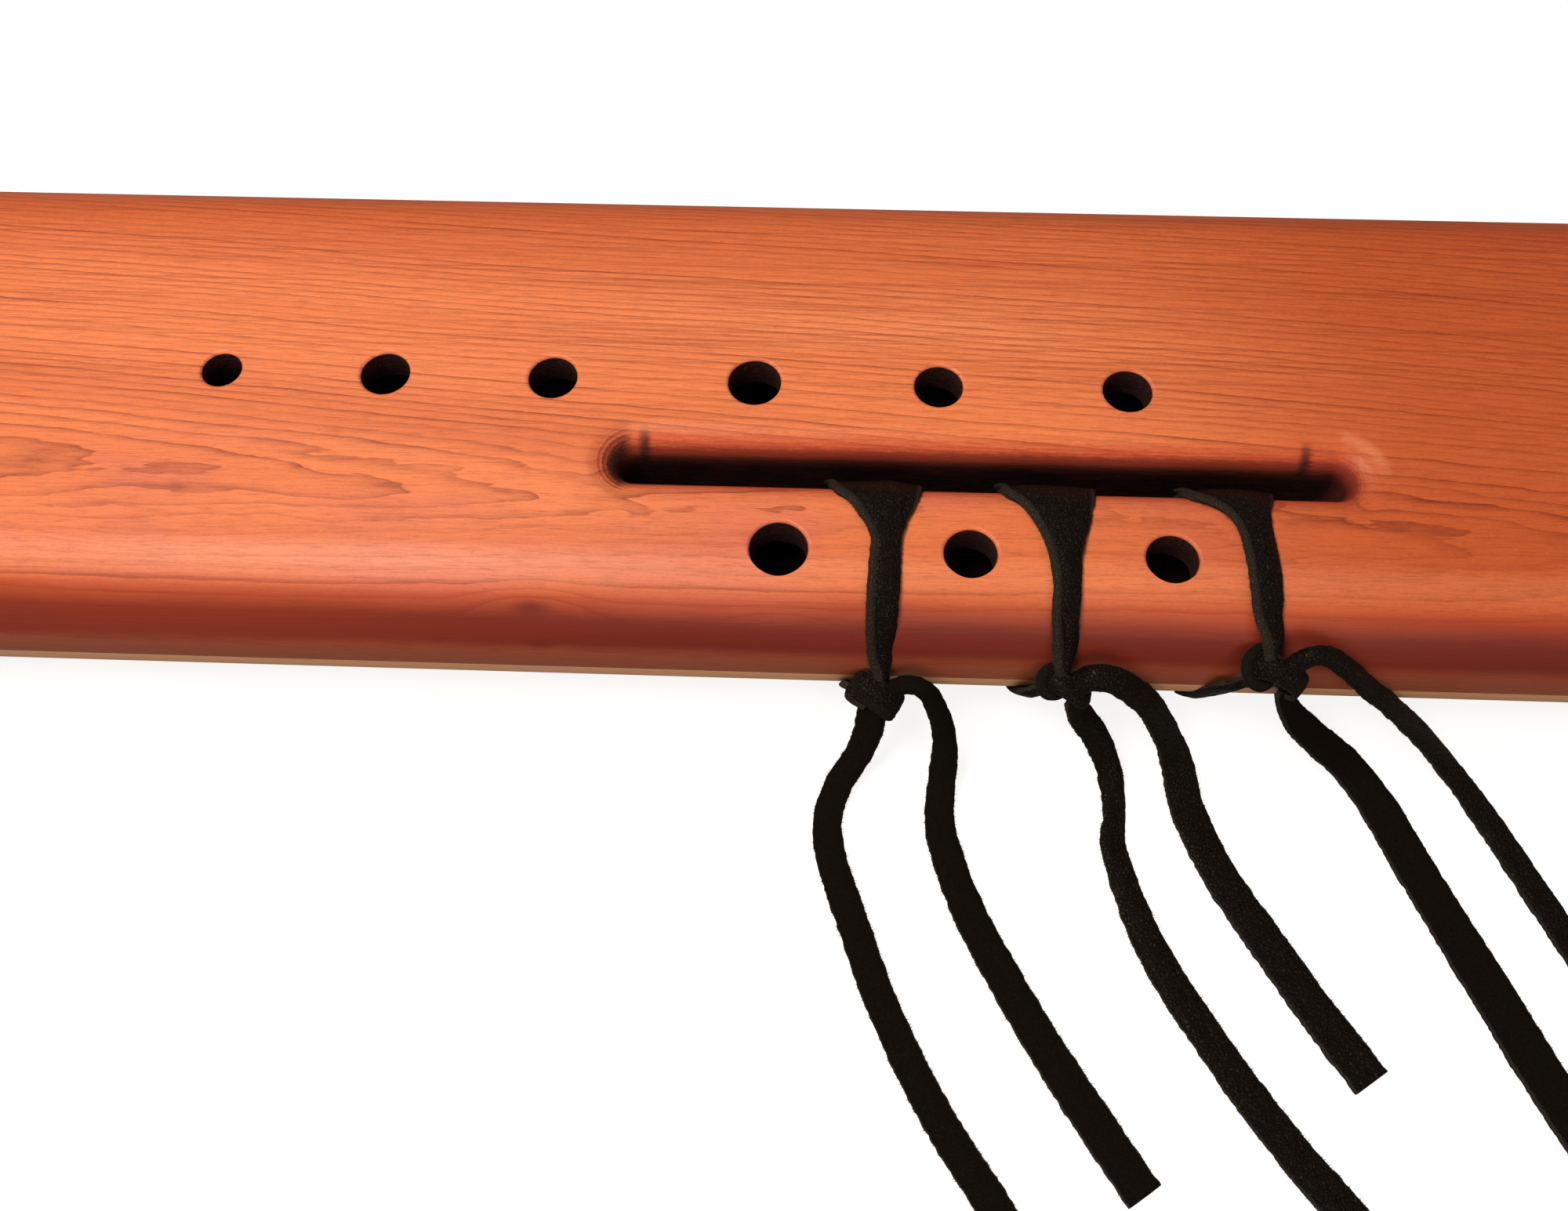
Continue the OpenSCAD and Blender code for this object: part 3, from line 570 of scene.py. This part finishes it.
# where each strap's lace comes up, measured from the foot, and its two free tails
laceFromFoot = (178.9, 145.8, 110.4)
tails = {
    "strapTail1Left": {
        "strap": 1, "node": "strap_tail_1_left", "grainUp": False,
        "route": ((-0.4, -4.2, 17.4), (-0.8, -5.4, 13.2), (-1.3, -7.8, 8.4), (-3, -11, 3.8),
                  (-6.5, -16, 0.3), (-8.5, -22, -0.9), (-8.2, -28.2, -0.9), (-6.5, -34.2, -0.9),
                  (-2.3, -45.7, -0.9),
                  (2, -56.8, -0.9), (7.1, -67.4, -0.9), (12.9, -77.5, -0.9), (21.2, -89.6, -0.9),
                  (25.2, -95.4, -0.9)),
        "width": ((0, 4.2), (0.1, 5.6), (0.25, 5.2), (0.6, 5.9), (1, 6.2)),
        "curl": ((0, 0.9), (0.12, 0.35), (0.3, 0.5), (1, 0.12)),
        "roll": ((0, 0), (0.22, -14), (0.4, 0), (1, 0))},
    "strapTail1Right": {
        "strap": 1, "node": "strap_tail_1_right", "grainUp": False,
        "route": ((1.8, -3.6, 20), (5, -4.1, 23.4), (8.4, -4.9, 22.6), (10.8, -6.4, 18), (12.7, -8.4, 12),
                  (13.6, -11, 6), (13.4, -15.7, 1), (13.1, -21.3, -0.9), (13.9, -27.4, -0.9),
                  (18, -39.2, -0.9), (23.8, -50.5, -0.9), (30, -61.3, -0.9), (36.5, -71.6, -0.9),
                  (47, -87.1, -0.9)),
        "width": ((0, 3.0), (0.15, 3.4), (0.3, 4.0), (0.45, 5.4), (0.8, 6.6), (1, 7.0)),
        "curl": ((0, 1.3), (0.2, 1.2), (0.4, 0.5), (1, 0.1)),
        "roll": ((0, 20), (0.12, 42), (0.3, 26), (0.42, 0), (1, 0))},
    "strapTail2Left": {
        "strap": 2, "node": "strap_tail_2_left", "grainUp": True,
        "route": ((2.4, -4.4, 20), (5, -5.2, 14.5), (9.3, -7.8, 8), (12.7, -12, 2), (13.9, -20, -0.9),
                  (13.2, -26.4, -0.9), (16, -38.2, -0.9), (20.8, -49.5, -0.9), (27.1, -60.2, -0.9),
                  (33.8, -70.5, -0.9), (41.1, -80.4, -0.9), (47, -87.5, -0.9), (50.9, -92.7, -0.9)),
        "width": ((0, 4.2), (0.08, 5.6), (0.22, 4.8), (0.35, 4.6), (0.6, 6.2), (1, 6.8)),
        "curl": ((0, 0.9), (0.15, 0.4), (0.3, 0.7), (0.5, 0.3), (1, 0.1)),
        "roll": ((0, 0), (0.2, 25), (0.32, -18), (0.5, 0), (1, 0))},
    "strapTail2Right": {
        "strap": 2, "node": "strap_tail_2_right", "grainUp": True,
        "route": ((1.4, -3.6, 24.2), (5, -3.4, 27.6), (9.2, -3.7, 27), (13, -4.4, 24), (17.2, -5.4, 19),
                  (22, -8.1, 11), (25.4, -12.2, 4.5), (28.3, -19.7, -0.9), (33.1, -31.7, -0.9),
                  (39.9, -43.2, -0.9), (46.5, -54.1, -0.9), (55.4, -67.4, -0.9)),
        "width": ((0, 4.2), (0.12, 4.8), (0.35, 5.4), (0.6, 6.8), (1, 7.2)),
        "curl": ((0, 1.2), (0.15, 0.9), (0.4, 0.4), (1, 0.08)),
        "roll": ((0, 20), (0.15, 34), (0.35, 18), (0.5, 0), (1, 0))},
    "strapTail3Left": {
        "strap": 3, "node": "strap_tail_3_left", "grainUp": False,
        "route": ((4.2, -3, 23.6), (7.4, -3.8, 18), (11.4, -4.8, 12), (16.5, -6.4, 7), (24.6, -10.2, 1),
                  (30.3, -18.5, -0.9), (35.3, -30.5, -0.9), (40.3, -42, -0.9), (45.2, -53, -0.9),
                  (49.7, -63.5, -0.9), (54.5, -73.6, -0.9), (58.6, -83.4, -0.9), (62.6, -93.4, -0.9)),
        "width": ((0, 3.4), (0.1, 6.2), (0.25, 6.6), (0.45, 7.8), (0.7, 8.2), (1, 7.4)),
        "curl": ((0, 1.0), (0.12, 0.4), (0.4, 0.3), (1, 0.1)),
        "roll": ((0, 0), (0.2, 12), (0.4, 0), (1, 0))},
    "strapTail3Right": {
        "strap": 3, "node": "strap_tail_3_right", "grainUp": True,
        "route": ((2.8, -1.8, 28.6), (5.8, -0.6, 32.6), (9.5, -0.2, 33), (14.2, -1.5, 30), (20.3, -2.8, 24),
                  (25.4, -3.8, 19.5), (35.6, -5.9, 9), (43.2, -9.9, 2), (49.5, -18, -0.9),
                  (54.9, -29.8, -0.9), (60.2, -41.3, -0.9), (65.3, -52.3, -0.9), (70.3, -63.1, -0.9)),
        "width": ((0, 3.0), (0.15, 3.3), (0.4, 4.2), (0.7, 5.2), (1, 5.6)),
        "curl": ((0, 1.2), (0.2, 1.0), (0.45, 0.5), (1, 0.12)),
        "roll": ((0, 20), (0.15, 34), (0.4, 20), (0.6, 0), (1, 0))},
}
leatherThick = 1.4


def makeTail(name, tail, seed):
    laceX = body["foot"] - laceFromFoot[tail["strap"] - 1]
    line = [Vector((laceX + p[0], sideY + p[1], p[2])) for p in tail["route"]]
    rows = []
    for i, spot in enumerate(line):
        share = i / (len(line) - 1)
        ahead = (line[min(i + 1, len(line) - 1)] - line[max(i - 1, 0)]).normalized()
        across = ahead.cross(Vector((0, 0, 1))).normalized()
        across.rotate(Matrix.Rotation(math.radians(pick(tail["roll"], share)), 3, ahead))
        rows.append([*spot, *across, pick(tail["width"], share), leatherThick,
                     pick(tail["curl"], share), 0.0])
    cut = {"ragged": 0.13, "fuzz": 0.55, "crease": 0.22, "seed": seed, "grainUp": tail["grainUp"]}
    lace, centres, length = sweepLace(name, rows, cut)
    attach(lace, "hole_strap_%d" % tail["strap"])
    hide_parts(tail["node"])
    tail["width"][-1][1] * mm


for seed, (tailName, tail) in enumerate(tails.items()):
    makeTail(tailName, tail, seed + 1)
print("six tails laid")

# the three hole straps: each row of edges is y, left x, right x
slideGap = 0.3
offset = slideGap + leatherThick / 2  # middle of the leather above the wood
straps = {
    "holeStrap1": {
        "number": 1, "seed": 11, "centre": (150.9, -57.5, 17.7), "under": 147.1, "leave": 64,
        "edges": ((-21.2, 140.9, 158.4), (-24.0, 142.2, 158.0), (-25.6, 143.9, 157.6), (-27.2, 145.3, 157.0),
                  (-29.5, 146.7, 156.0), (-32.0, 148.1, 155.0), (-35.0, 148.9, 154.3), (-42.0, 148.5, 154.1),
                  (-48.0, 148.4, 153.8)),
        "end": ((0.45, 7.2, 3.9, 4.4), (0.65, 4.6, 2.6, 2.8), (0.8, 2.4, 1.7, 2.0), (1.0, 0.2, 1.0, 2.2),
                (0.9, -1.6, 0.4, 2.8)),
        "rise": ((-4.6, 0.9, -3.6, 4.4), (-4.0, 0.8, -1.8, 4.2), (-2.4, 0.0, -0.6, 3.8))},
    "holeStrap2": {
        "number": 2, "seed": 12, "centre": (184.7, -57.2, 21.7), "under": 179.6, "leave": 62,
        "edges": ((-21.2, 173.0, 190.8), (-23.6, 173.6, 190.2), (-25.6, 175.7, 189.8), (-27.4, 177.1, 189.3),
                  (-30.0, 178.6, 188.9), (-33.0, 179.9, 187.9), (-36.5, 180.9, 186.8), (-42.0, 181.6, 186.4),
                  (-47.5, 181.6, 186.2)),
        "end": ((-0.2, 7.6, 3.2, 4.2), (-0.4, 5.0, 2.4, 3.1), (-0.4, 2.8, 1.7, 2.1), (0.4, 0.6, 1.0, 2.4),
                (1.4, -1.4, 0.2, 3.2)),
        "rise": ((-4.9, -1.2, -4.6, 4.4), (-4.2, -0.6, -2.6, 4.0), (-2.6, 0.0, -1.0, 3.6))},
    "holeStrap3": {
        "number": 3, "seed": 13, "centre": (221.8, -55.4, 26.0), "under": 212.8, "leave": 56,
        "edges": ((-21.2, 206.6, 223.6), (-23.4, 208.2, 222.9), (-25.0, 211.0, 222.3), (-27.0, 213.3, 221.7),
                  (-29.5, 214.9, 221.5), (-33.0, 215.8, 221.7), (-38.0, 216.2, 222.0), (-43.0, 216.6, 222.2),
                  (-46.5, 217.3, 222.0)),
        "end": ((-1.3, 7.6, 3.0, 4.1), (-1.2, 5.4, 2.6, 3.1), (-0.9, 3.4, 2.0, 2.4), (-0.2, 1.2, 1.2, 2.6),
                (1.0, -1.0, 0.4, 3.0)),
        "rise": ((-6.6, -2.4, -4.6, 4.6), (-4.6, -1.6, -2.8, 4.2), (-2.8, -0.6, -1.2, 3.8))},
}
# each row: right, up and out from the knot's middle, width, then the direction of the lace's left edge
knotBands = {
    "knotBand1": {
        "strap": "holeStrap1", "seed": 21, "grainUp": True,
        "rows": ((-1.6, -1.4, -2.6, 4.2, -0.5, -0.8, 0.3), (-4.0, 0.0, -1.8, 4.3, -0.4, -0.8, 0.45),
                 (-4.7, 1.4, 0.0, 4.5, -0.5, -0.85, 0.2), (-3.3, 1.9, 1.6, 5.0, -0.55, -0.83, 0),
                 (-1.0, 0.6, 2.5, 5.3, -0.55, -0.83, 0), (1.3, -1.1, 2.4, 5.1, -0.55, -0.83, 0),
                 (3.1, -2.4, 1.2, 4.8, -0.5, -0.86, 0), (3.9, -2.3, -0.7, 4.4, -0.45, -0.88, 0),
                 (2.9, -0.7, -2.2, 4.2, -0.4, -0.9, 0), (0.6, 1.2, -2.2, 4.0, -0.4, -0.9, 0))},
    "knotBand2": {
        "strap": "holeStrap2", "seed": 22, "grainUp": True,
        "rows": ((0.4, 1.6, -1.8, 2.6, -0.4, -0.9, 0), (-2.0, 2.4, -1.2, 3.0, -0.2, -0.9, 0.2),
                 (-3.3, 2.0, 0.0, 3.4, -0.3, -0.9, 0.1), (-2.4, 1.8, 1.4, 3.6, -0.4, -0.9, 0),
                 (-0.7, 1.2, 2.4, 3.6, -0.45, -0.89, 0), (1.5, -0.3, 2.6, 3.5, -0.45, -0.89, 0),
                 (3.6, -1.5, 1.7, 3.3, -0.4, -0.91, 0), (4.4, -1.6, 0.0, 3.0, -0.3, -0.95, 0),
                 (3.4, -0.8, -1.4, 2.6, -0.3, -0.95, 0), (1.4, 0.4, -1.8, 2.2, -0.3, -0.95, 0))},
    "knotBand3": {
        "strap": "holeStrap3", "seed": 23, "grainUp": True,
        "rows": ((0.2, 2.6, -1.8, 3.0, -0.2, -0.9, 0), (-2.6, 3.0, -1.2, 3.8, -0.1, -1, 0.1),
                 (-4.0, 2.4, 0.0, 4.4, -0.2, -1, 0.1), (-3.0, 2.2, 1.5, 4.6, -0.35, -0.94, 0),
                 (-1.2, 1.9, 2.6, 4.6, -0.45, -0.89, 0), (0.9, 0.9, 3.1, 4.6, -0.5, -0.86, 0),
                 (3.1, -0.3, 2.4, 4.4, -0.6, -0.8, 0), (4.6, -1.6, 0.6, 4.0, -0.6, -0.8, 0),
                 (4.2, -2.4, -1.2, 3.4, -0.5, -0.86, 0), (2.2, -1.8, -2.2, 2.8, -0.4, -0.9, 0))},
    # the turned-up rim of each loop, at the left of its knot
    "knotRim1": {
        "strap": "holeStrap1", "seed": 24, "grainUp": False,
        "rows": ((-0.8, 3.4, -0.6, 1.0, 0.3, 0.9, 0), (-2.7, 3.0, 1.0, 1.3, -0.5, 0.8, 0.2),
                 (-3.7, 1.6, 1.8, 1.4, -1, 0.1, 0.2), (-3.0, 0.1, 2.1, 1.4, -0.8, -0.6, 0),
                 (-1.4, -1.2, 2.4, 1.3, -0.6, -0.8, 0), (0.6, -2.7, 2.4, 1.2, -0.6, -0.8, 0),
                 (2.4, -4.0, 1.5, 1.0, -0.5, -0.86, 0), (3.0, -4.0, 0.2, 0.8, -0.5, -0.86, 0))},
    "knotRim2": {
        "strap": "holeStrap2", "seed": 25, "grainUp": False,
        "rows": ((-0.6, 3.8, -0.6, 1.0, 0.3, 0.9, 0), (-2.4, 3.8, 0.4, 1.4, -0.4, 0.9, 0.2),
                 (-3.9, 2.4, 0.9, 1.6, -1, 0.3, 0.2), (-4.0, 0.6, 0.9, 1.6, -1, -0.3, 0.2),
                 (-2.8, -0.8, 0.8, 1.5, -0.5, -0.86, 0.1), (-1.0, -0.9, 0.2, 1.2, 0, -1, 0),
                 (0.4, -0.4, -0.6, 0.9, 0, -1, 0))},
    "knotRim3": {
        "strap": "holeStrap3", "seed": 26, "grainUp": False,
        "rows": ((-0.8, 5.2, -0.8, 1.2, 0.3, 0.9, 0), (-3.1, 4.9, 0.4, 1.7, -0.4, 0.9, 0.2),
                 (-4.8, 3.2, 1.0, 2.0, -1, 0.3, 0.2), (-5.0, 1.1, 1.1, 2.0, -1, -0.2, 0.2),
                 (-4.0, -0.8, 0.9, 1.9, -0.7, -0.7, 0.1), (-2.2, -1.4, 0.3, 1.5, 0, -1, 0),
                 (-0.4, -0.8, -0.6, 1.0, 0.2, -1, 0))},
}
knotRight, knotUp, knotOut = Vector((1, 0, 0)), Vector((0, 0.905, 0.425)), Vector((0, -0.425, 0.905))


def knotSpot(centre, right, up, out):
    return Vector(centre) + knotRight * right + knotUp * up + knotOut * out


def tubePoint(y, away):
    # a point a set way off the wood, from the slot's near lip over the near bore's tube
    edgeY = body["slotY"] - body["slotHalf"]
    turnY = edgeY - body["slotRound"]
    if y > turnY:
        angle = math.acos(min(max((y - turnY) / (body["slotRound"] + away), 0.0), 1.0))
        height = body["thick"] - body["slotRound"] + math.sin(angle) * (body["slotRound"] + away)
        return Vector((0, y, height))
    if y > body["tubeY"]:
        return Vector((0, y, body["thick"] + away))
    reach = body["tubeR"] + away
    angle = math.acos(max((y - body["tubeY"]) / reach, -1.0))
    return Vector((0, y, body["seam"] + math.sin(angle) * reach))


def strapRows(strap):
    rows = []
    x = Vector((1, 0, 0))
    centre = strap["centre"]
    for right, up, out, width in reversed(strap["end"]):
        rows.append([*knotSpot(centre, right, up, out), *x, width, leatherThick, 1.25, 0.5])
    for y, left, right in reversed(strap["edges"]):
        spot = tubePoint(y, offset + 0.05)
        share = min(max((-y - 22) / 14, 0), 1)
        rows.append([(left + right) / 2, spot.y, spot.z, *x, right - left, leatherThick,
                     0.12 + 0.5 * share, 0.5 * share])
    # down the slot wall, along the back and up the outer side
    patch = rows[-1][0]
    wallY = body["slotY"] - body["slotHalf"] + offset
    full = strap["edges"][0][2] - strap["edges"][0][1]
    for z in (27.5, 22.0, 17.4, 12.0, 7.0):
        rows.append([patch, wallY, z, *x, full, leatherThick, 0.05, 0.0])
    turnY = body["slotY"] - body["slotHalf"] - body["slotRound"]
    for angle, share in ((30, 0.05), (60, 0.12), (90, 0.2)):
        reach = body["slotRound"] + offset
        spot = (turnY + math.cos(math.radians(angle)) * reach,
                body["slotRound"] - math.sin(math.radians(angle)) * reach)
        rows.append([patch + (strap["under"] - patch) * share, *spot, *x,
                     full + (6.5 - full) * share, leatherThick, 0.05, 0.0])
    for y, share in ((-30.5, 0.5), (-33.5, 0.8), (-36.3, 1.0)):
        rows.append([patch + (strap["under"] - patch) * share, y, -offset, *x,
                     full + (6.0 - full) * share, leatherThick, 0.05, 0.0])
    reach = body["tubeR"] + offset + 0.05
    for k in range(1, 5):
        angle = math.radians(strap["leave"] * k / 4)
        rows.append([strap["under"] + 0.12 * k * k * 0.3, body["tubeY"] - math.sin(angle) * reach,
                     body["seam"] - math.cos(angle) * reach, *x, 5.6, leatherThick, 0.15 + 0.1 * k, 0.0])
    for right, up, out, width in strap["rise"]:
        rows.append([*knotSpot(centre, right, up, out), *x, width, leatherThick, 0.8, 0.0])
    return rows


for strapName, strap in straps.items():
    cut = {"ragged": 0.10, "fuzz": 0.5, "crease": 0.30, "seed": strap["seed"], "grainUp": True,
           "square": True, "hairless": -25}
    lace = sweepLace(strapName, strapRows(strap), cut, 0.6)[0]
    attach(lace, "hole_strap_%d" % strap["number"])
    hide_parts("hole_strap_%d" % strap["number"])
    fold = []
    for i, (y, left, right) in enumerate(strap["edges"]):
        spot = tubePoint(y, offset + 0.35)
        fold.append([left + 0.65, spot.y, spot.z, -1, 0, 0, 1.3 if i else 0.9, 1.1, 1.1, 0.0])
    slotWall = body["slotY"] - body["slotHalf"]
    fold.insert(0, [strap["edges"][0][1] - 0.3, slotWall + 0.9, 31.4, -1, 0, 0, 0.9, 1.0, 1.1, 0])
    for right, up, out, width in strap["end"][:4]:
        spot = knotSpot(strap["centre"], right - width / 2 + 0.6, up, out + 0.45)
        fold.append([*spot, -1, 0, 0, 1.3, 1.2, 1.1, 0.0])
    cut = {"ragged": 0.12, "fuzz": 0.6, "crease": 0.15, "seed": strap["seed"] + 20, "grainUp": True,
           "raw": 0.7}
    lace = sweepLace("strapFold%d" % strap["number"], fold, cut, 0.45)[0]
    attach(lace, "hole_strap_%d" % strap["number"])
for bandName, band in knotBands.items():
    strap = straps[band["strap"]]
    rows = []
    bend = 1.2 if "Rim" in bandName else 0.6
    for right, up, out, width, ax, ay, az in band["rows"]:
        across = knotRight * ax + knotUp * ay + knotOut * az
        rows.append([*knotSpot(strap["centre"], right, up, out), *across, width, 1.4, bend, 0.0])
    cut = {"ragged": 0.07, "fuzz": 0.3, "crease": 0.25, "seed": band["seed"], "grainUp": band["grainUp"],
           "raw": 0.5 if "Rim" in bandName else 0.0}
    lace = sweepLace(bandName, rows, cut, 0.4)[0]
    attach(lace, "hole_strap_%d" % strap["number"])
    if "Band" in bandName:
        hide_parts("strap_knot_%d" % strap["number"])
print("straps and knots tied")

# the lace wound twice over the three blocks
blockTie = {"x": -186.92, "turnPitch": 6.8, "width": 6.3, "cornerY": 46.3, "cornerZ": 46.4}


def tieLoop(x):
    # convex loop round the body and the saddles
    spots = []
    for y, z, reach in ((body["farY"], body["seam"], body["tubeR"]),
                        (body["tubeY"], body["seam"], body["tubeR"]),
                        (blockTie["cornerY"], blockTie["cornerZ"], 0),
                        (-blockTie["cornerY"], blockTie["cornerZ"], 0)):
        for k in range(72):
            angle = math.radians(5 * k)
            spots.append((y + math.cos(angle) * (reach + offset), z + math.sin(angle) * (reach + offset)))
    spots.sort()
    hull = []
    for pathway in (spots, spots[::-1]):
        side = []
        for p in pathway:
            while len(side) > 1 and ((side[-1][0] - side[-2][0]) * (p[1] - side[-2][1])
                                     - (side[-1][1] - side[-2][1]) * (p[0] - side[-2][0])) <= 0:
                side.pop()
            side.append(p)
        hull += side[:-1]
    start = min(range(len(hull)), key=lambda i: abs(hull[i][0]) + abs(hull[i][1] - 60))
    hull = hull[start:] + hull[:start + 1]
    rows = []
    for a, b in zip(hull, hull[1:]):
        pieces = max(int(math.dist(a, b) / 6), 1)
        for k in range(pieces):
            t = k / pieces
            rows.append([a[0] + (b[0] - a[0]) * t, a[1] + (b[1] - a[1]) * t])
    rows.append(list(hull[-1]))
    made = []
    for y, z in rows:
        made.append([x, y, z, -1, 0, 0, blockTie["width"], leatherThick, 0.12, 0.0])
    return made


for turn in (-1, 1):
    cut = {"ragged": 0.08, "fuzz": 0.35, "crease": 0.2, "seed": 30 + turn, "grainUp": True}
    loop = tieLoop(blockTie["x"] + turn * blockTie["turnPitch"] / 2)
    lace = sweepLace("blockTieTurn%d" % (turn + 2), loop, cut, 1.2)[0]
    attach(lace, "body")
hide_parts("block_tie")

tieKnot = {
    "centre": (-186.92, 0.0, 49.6),
    "bands": {
        "tieKnotOver": ((-6.0, -2.2, -1.6, 4.6), (-4.6, -1.6, 0.4, 4.6), (-1.8, -0.6, 1.5, 4.8),
                        (1.6, 0.6, 1.7, 4.8), (4.4, 1.5, 0.5, 4.6), (5.8, 2.1, -1.6, 4.4)),
        "tieKnotUnder": ((-5.4, 3.2, -1.7, 4.4), (-3.8, 2.2, -0.6, 4.4), (-0.6, 0.4, 0.1, 4.2),
                         (3.4, -2.0, -0.4, 4.4), (5.2, -3.2, -1.7, 4.4)),
        "tieEndLeft": ((-1.6, 0.8, 0.3, 4.2), (-3.2, 5.0, 0.6, 4.8), (-5.4, 9.6, -0.4, 5.4),
                       (-6.6, 14.2, -1.6, 5.8), (-7.2, 18.4, -2.0, 5.8)),
        "tieEndRight": ((1.6, -0.8, 0.3, 4.2), (3.0, -4.8, 0.8, 4.8), (4.6, -9.0, -0.2, 5.4),
                        (6.8, -13.2, -1.5, 5.8), (8.6, -16.6, -2.0, 5.8))}}
for seed, (name, line) in enumerate(tieKnot["bands"].items()):
    spots = [Vector(tieKnot["centre"]) + Vector(p[:3]) for p in line]
    rows = []
    for i, spot in enumerate(spots):
        ahead = (spots[min(i + 1, len(spots) - 1)] - spots[max(i - 1, 0)]).normalized()
        across = ahead.cross(Vector((0, 0, 1)))
        rows.append([*spot, *across, line[i][3], 1.3, 0.45, 0.0])
    cut = {"ragged": 0.08, "fuzz": 0.35, "crease": 0.2, "seed": 40 + seed, "grainUp": True}
    lace = sweepLace(name, rows, cut, 0.45)[0]
    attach(lace, "body")
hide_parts("block_tie_knot")
print("block tie wound")

floorMesh = bpy.data.meshes.new("paleFloor")
floorZ = (body["floor"] - room["floorDrop"]) * mm
floorReach = room["floorReach"]
floorMesh.from_pydata([(-floorReach, -floorReach, floorZ), (floorReach, -floorReach, floorZ),
                       (floorReach, floorReach, floorZ), (-floorReach, floorReach, floorZ)],
                      [], [(0, 1, 2, 3)])
floorMesh.materials.append(floorPaint())
floor = bpy.data.objects.new("paleFloor", floorMesh)
bpy.context.scene.collection.objects.link(floor)
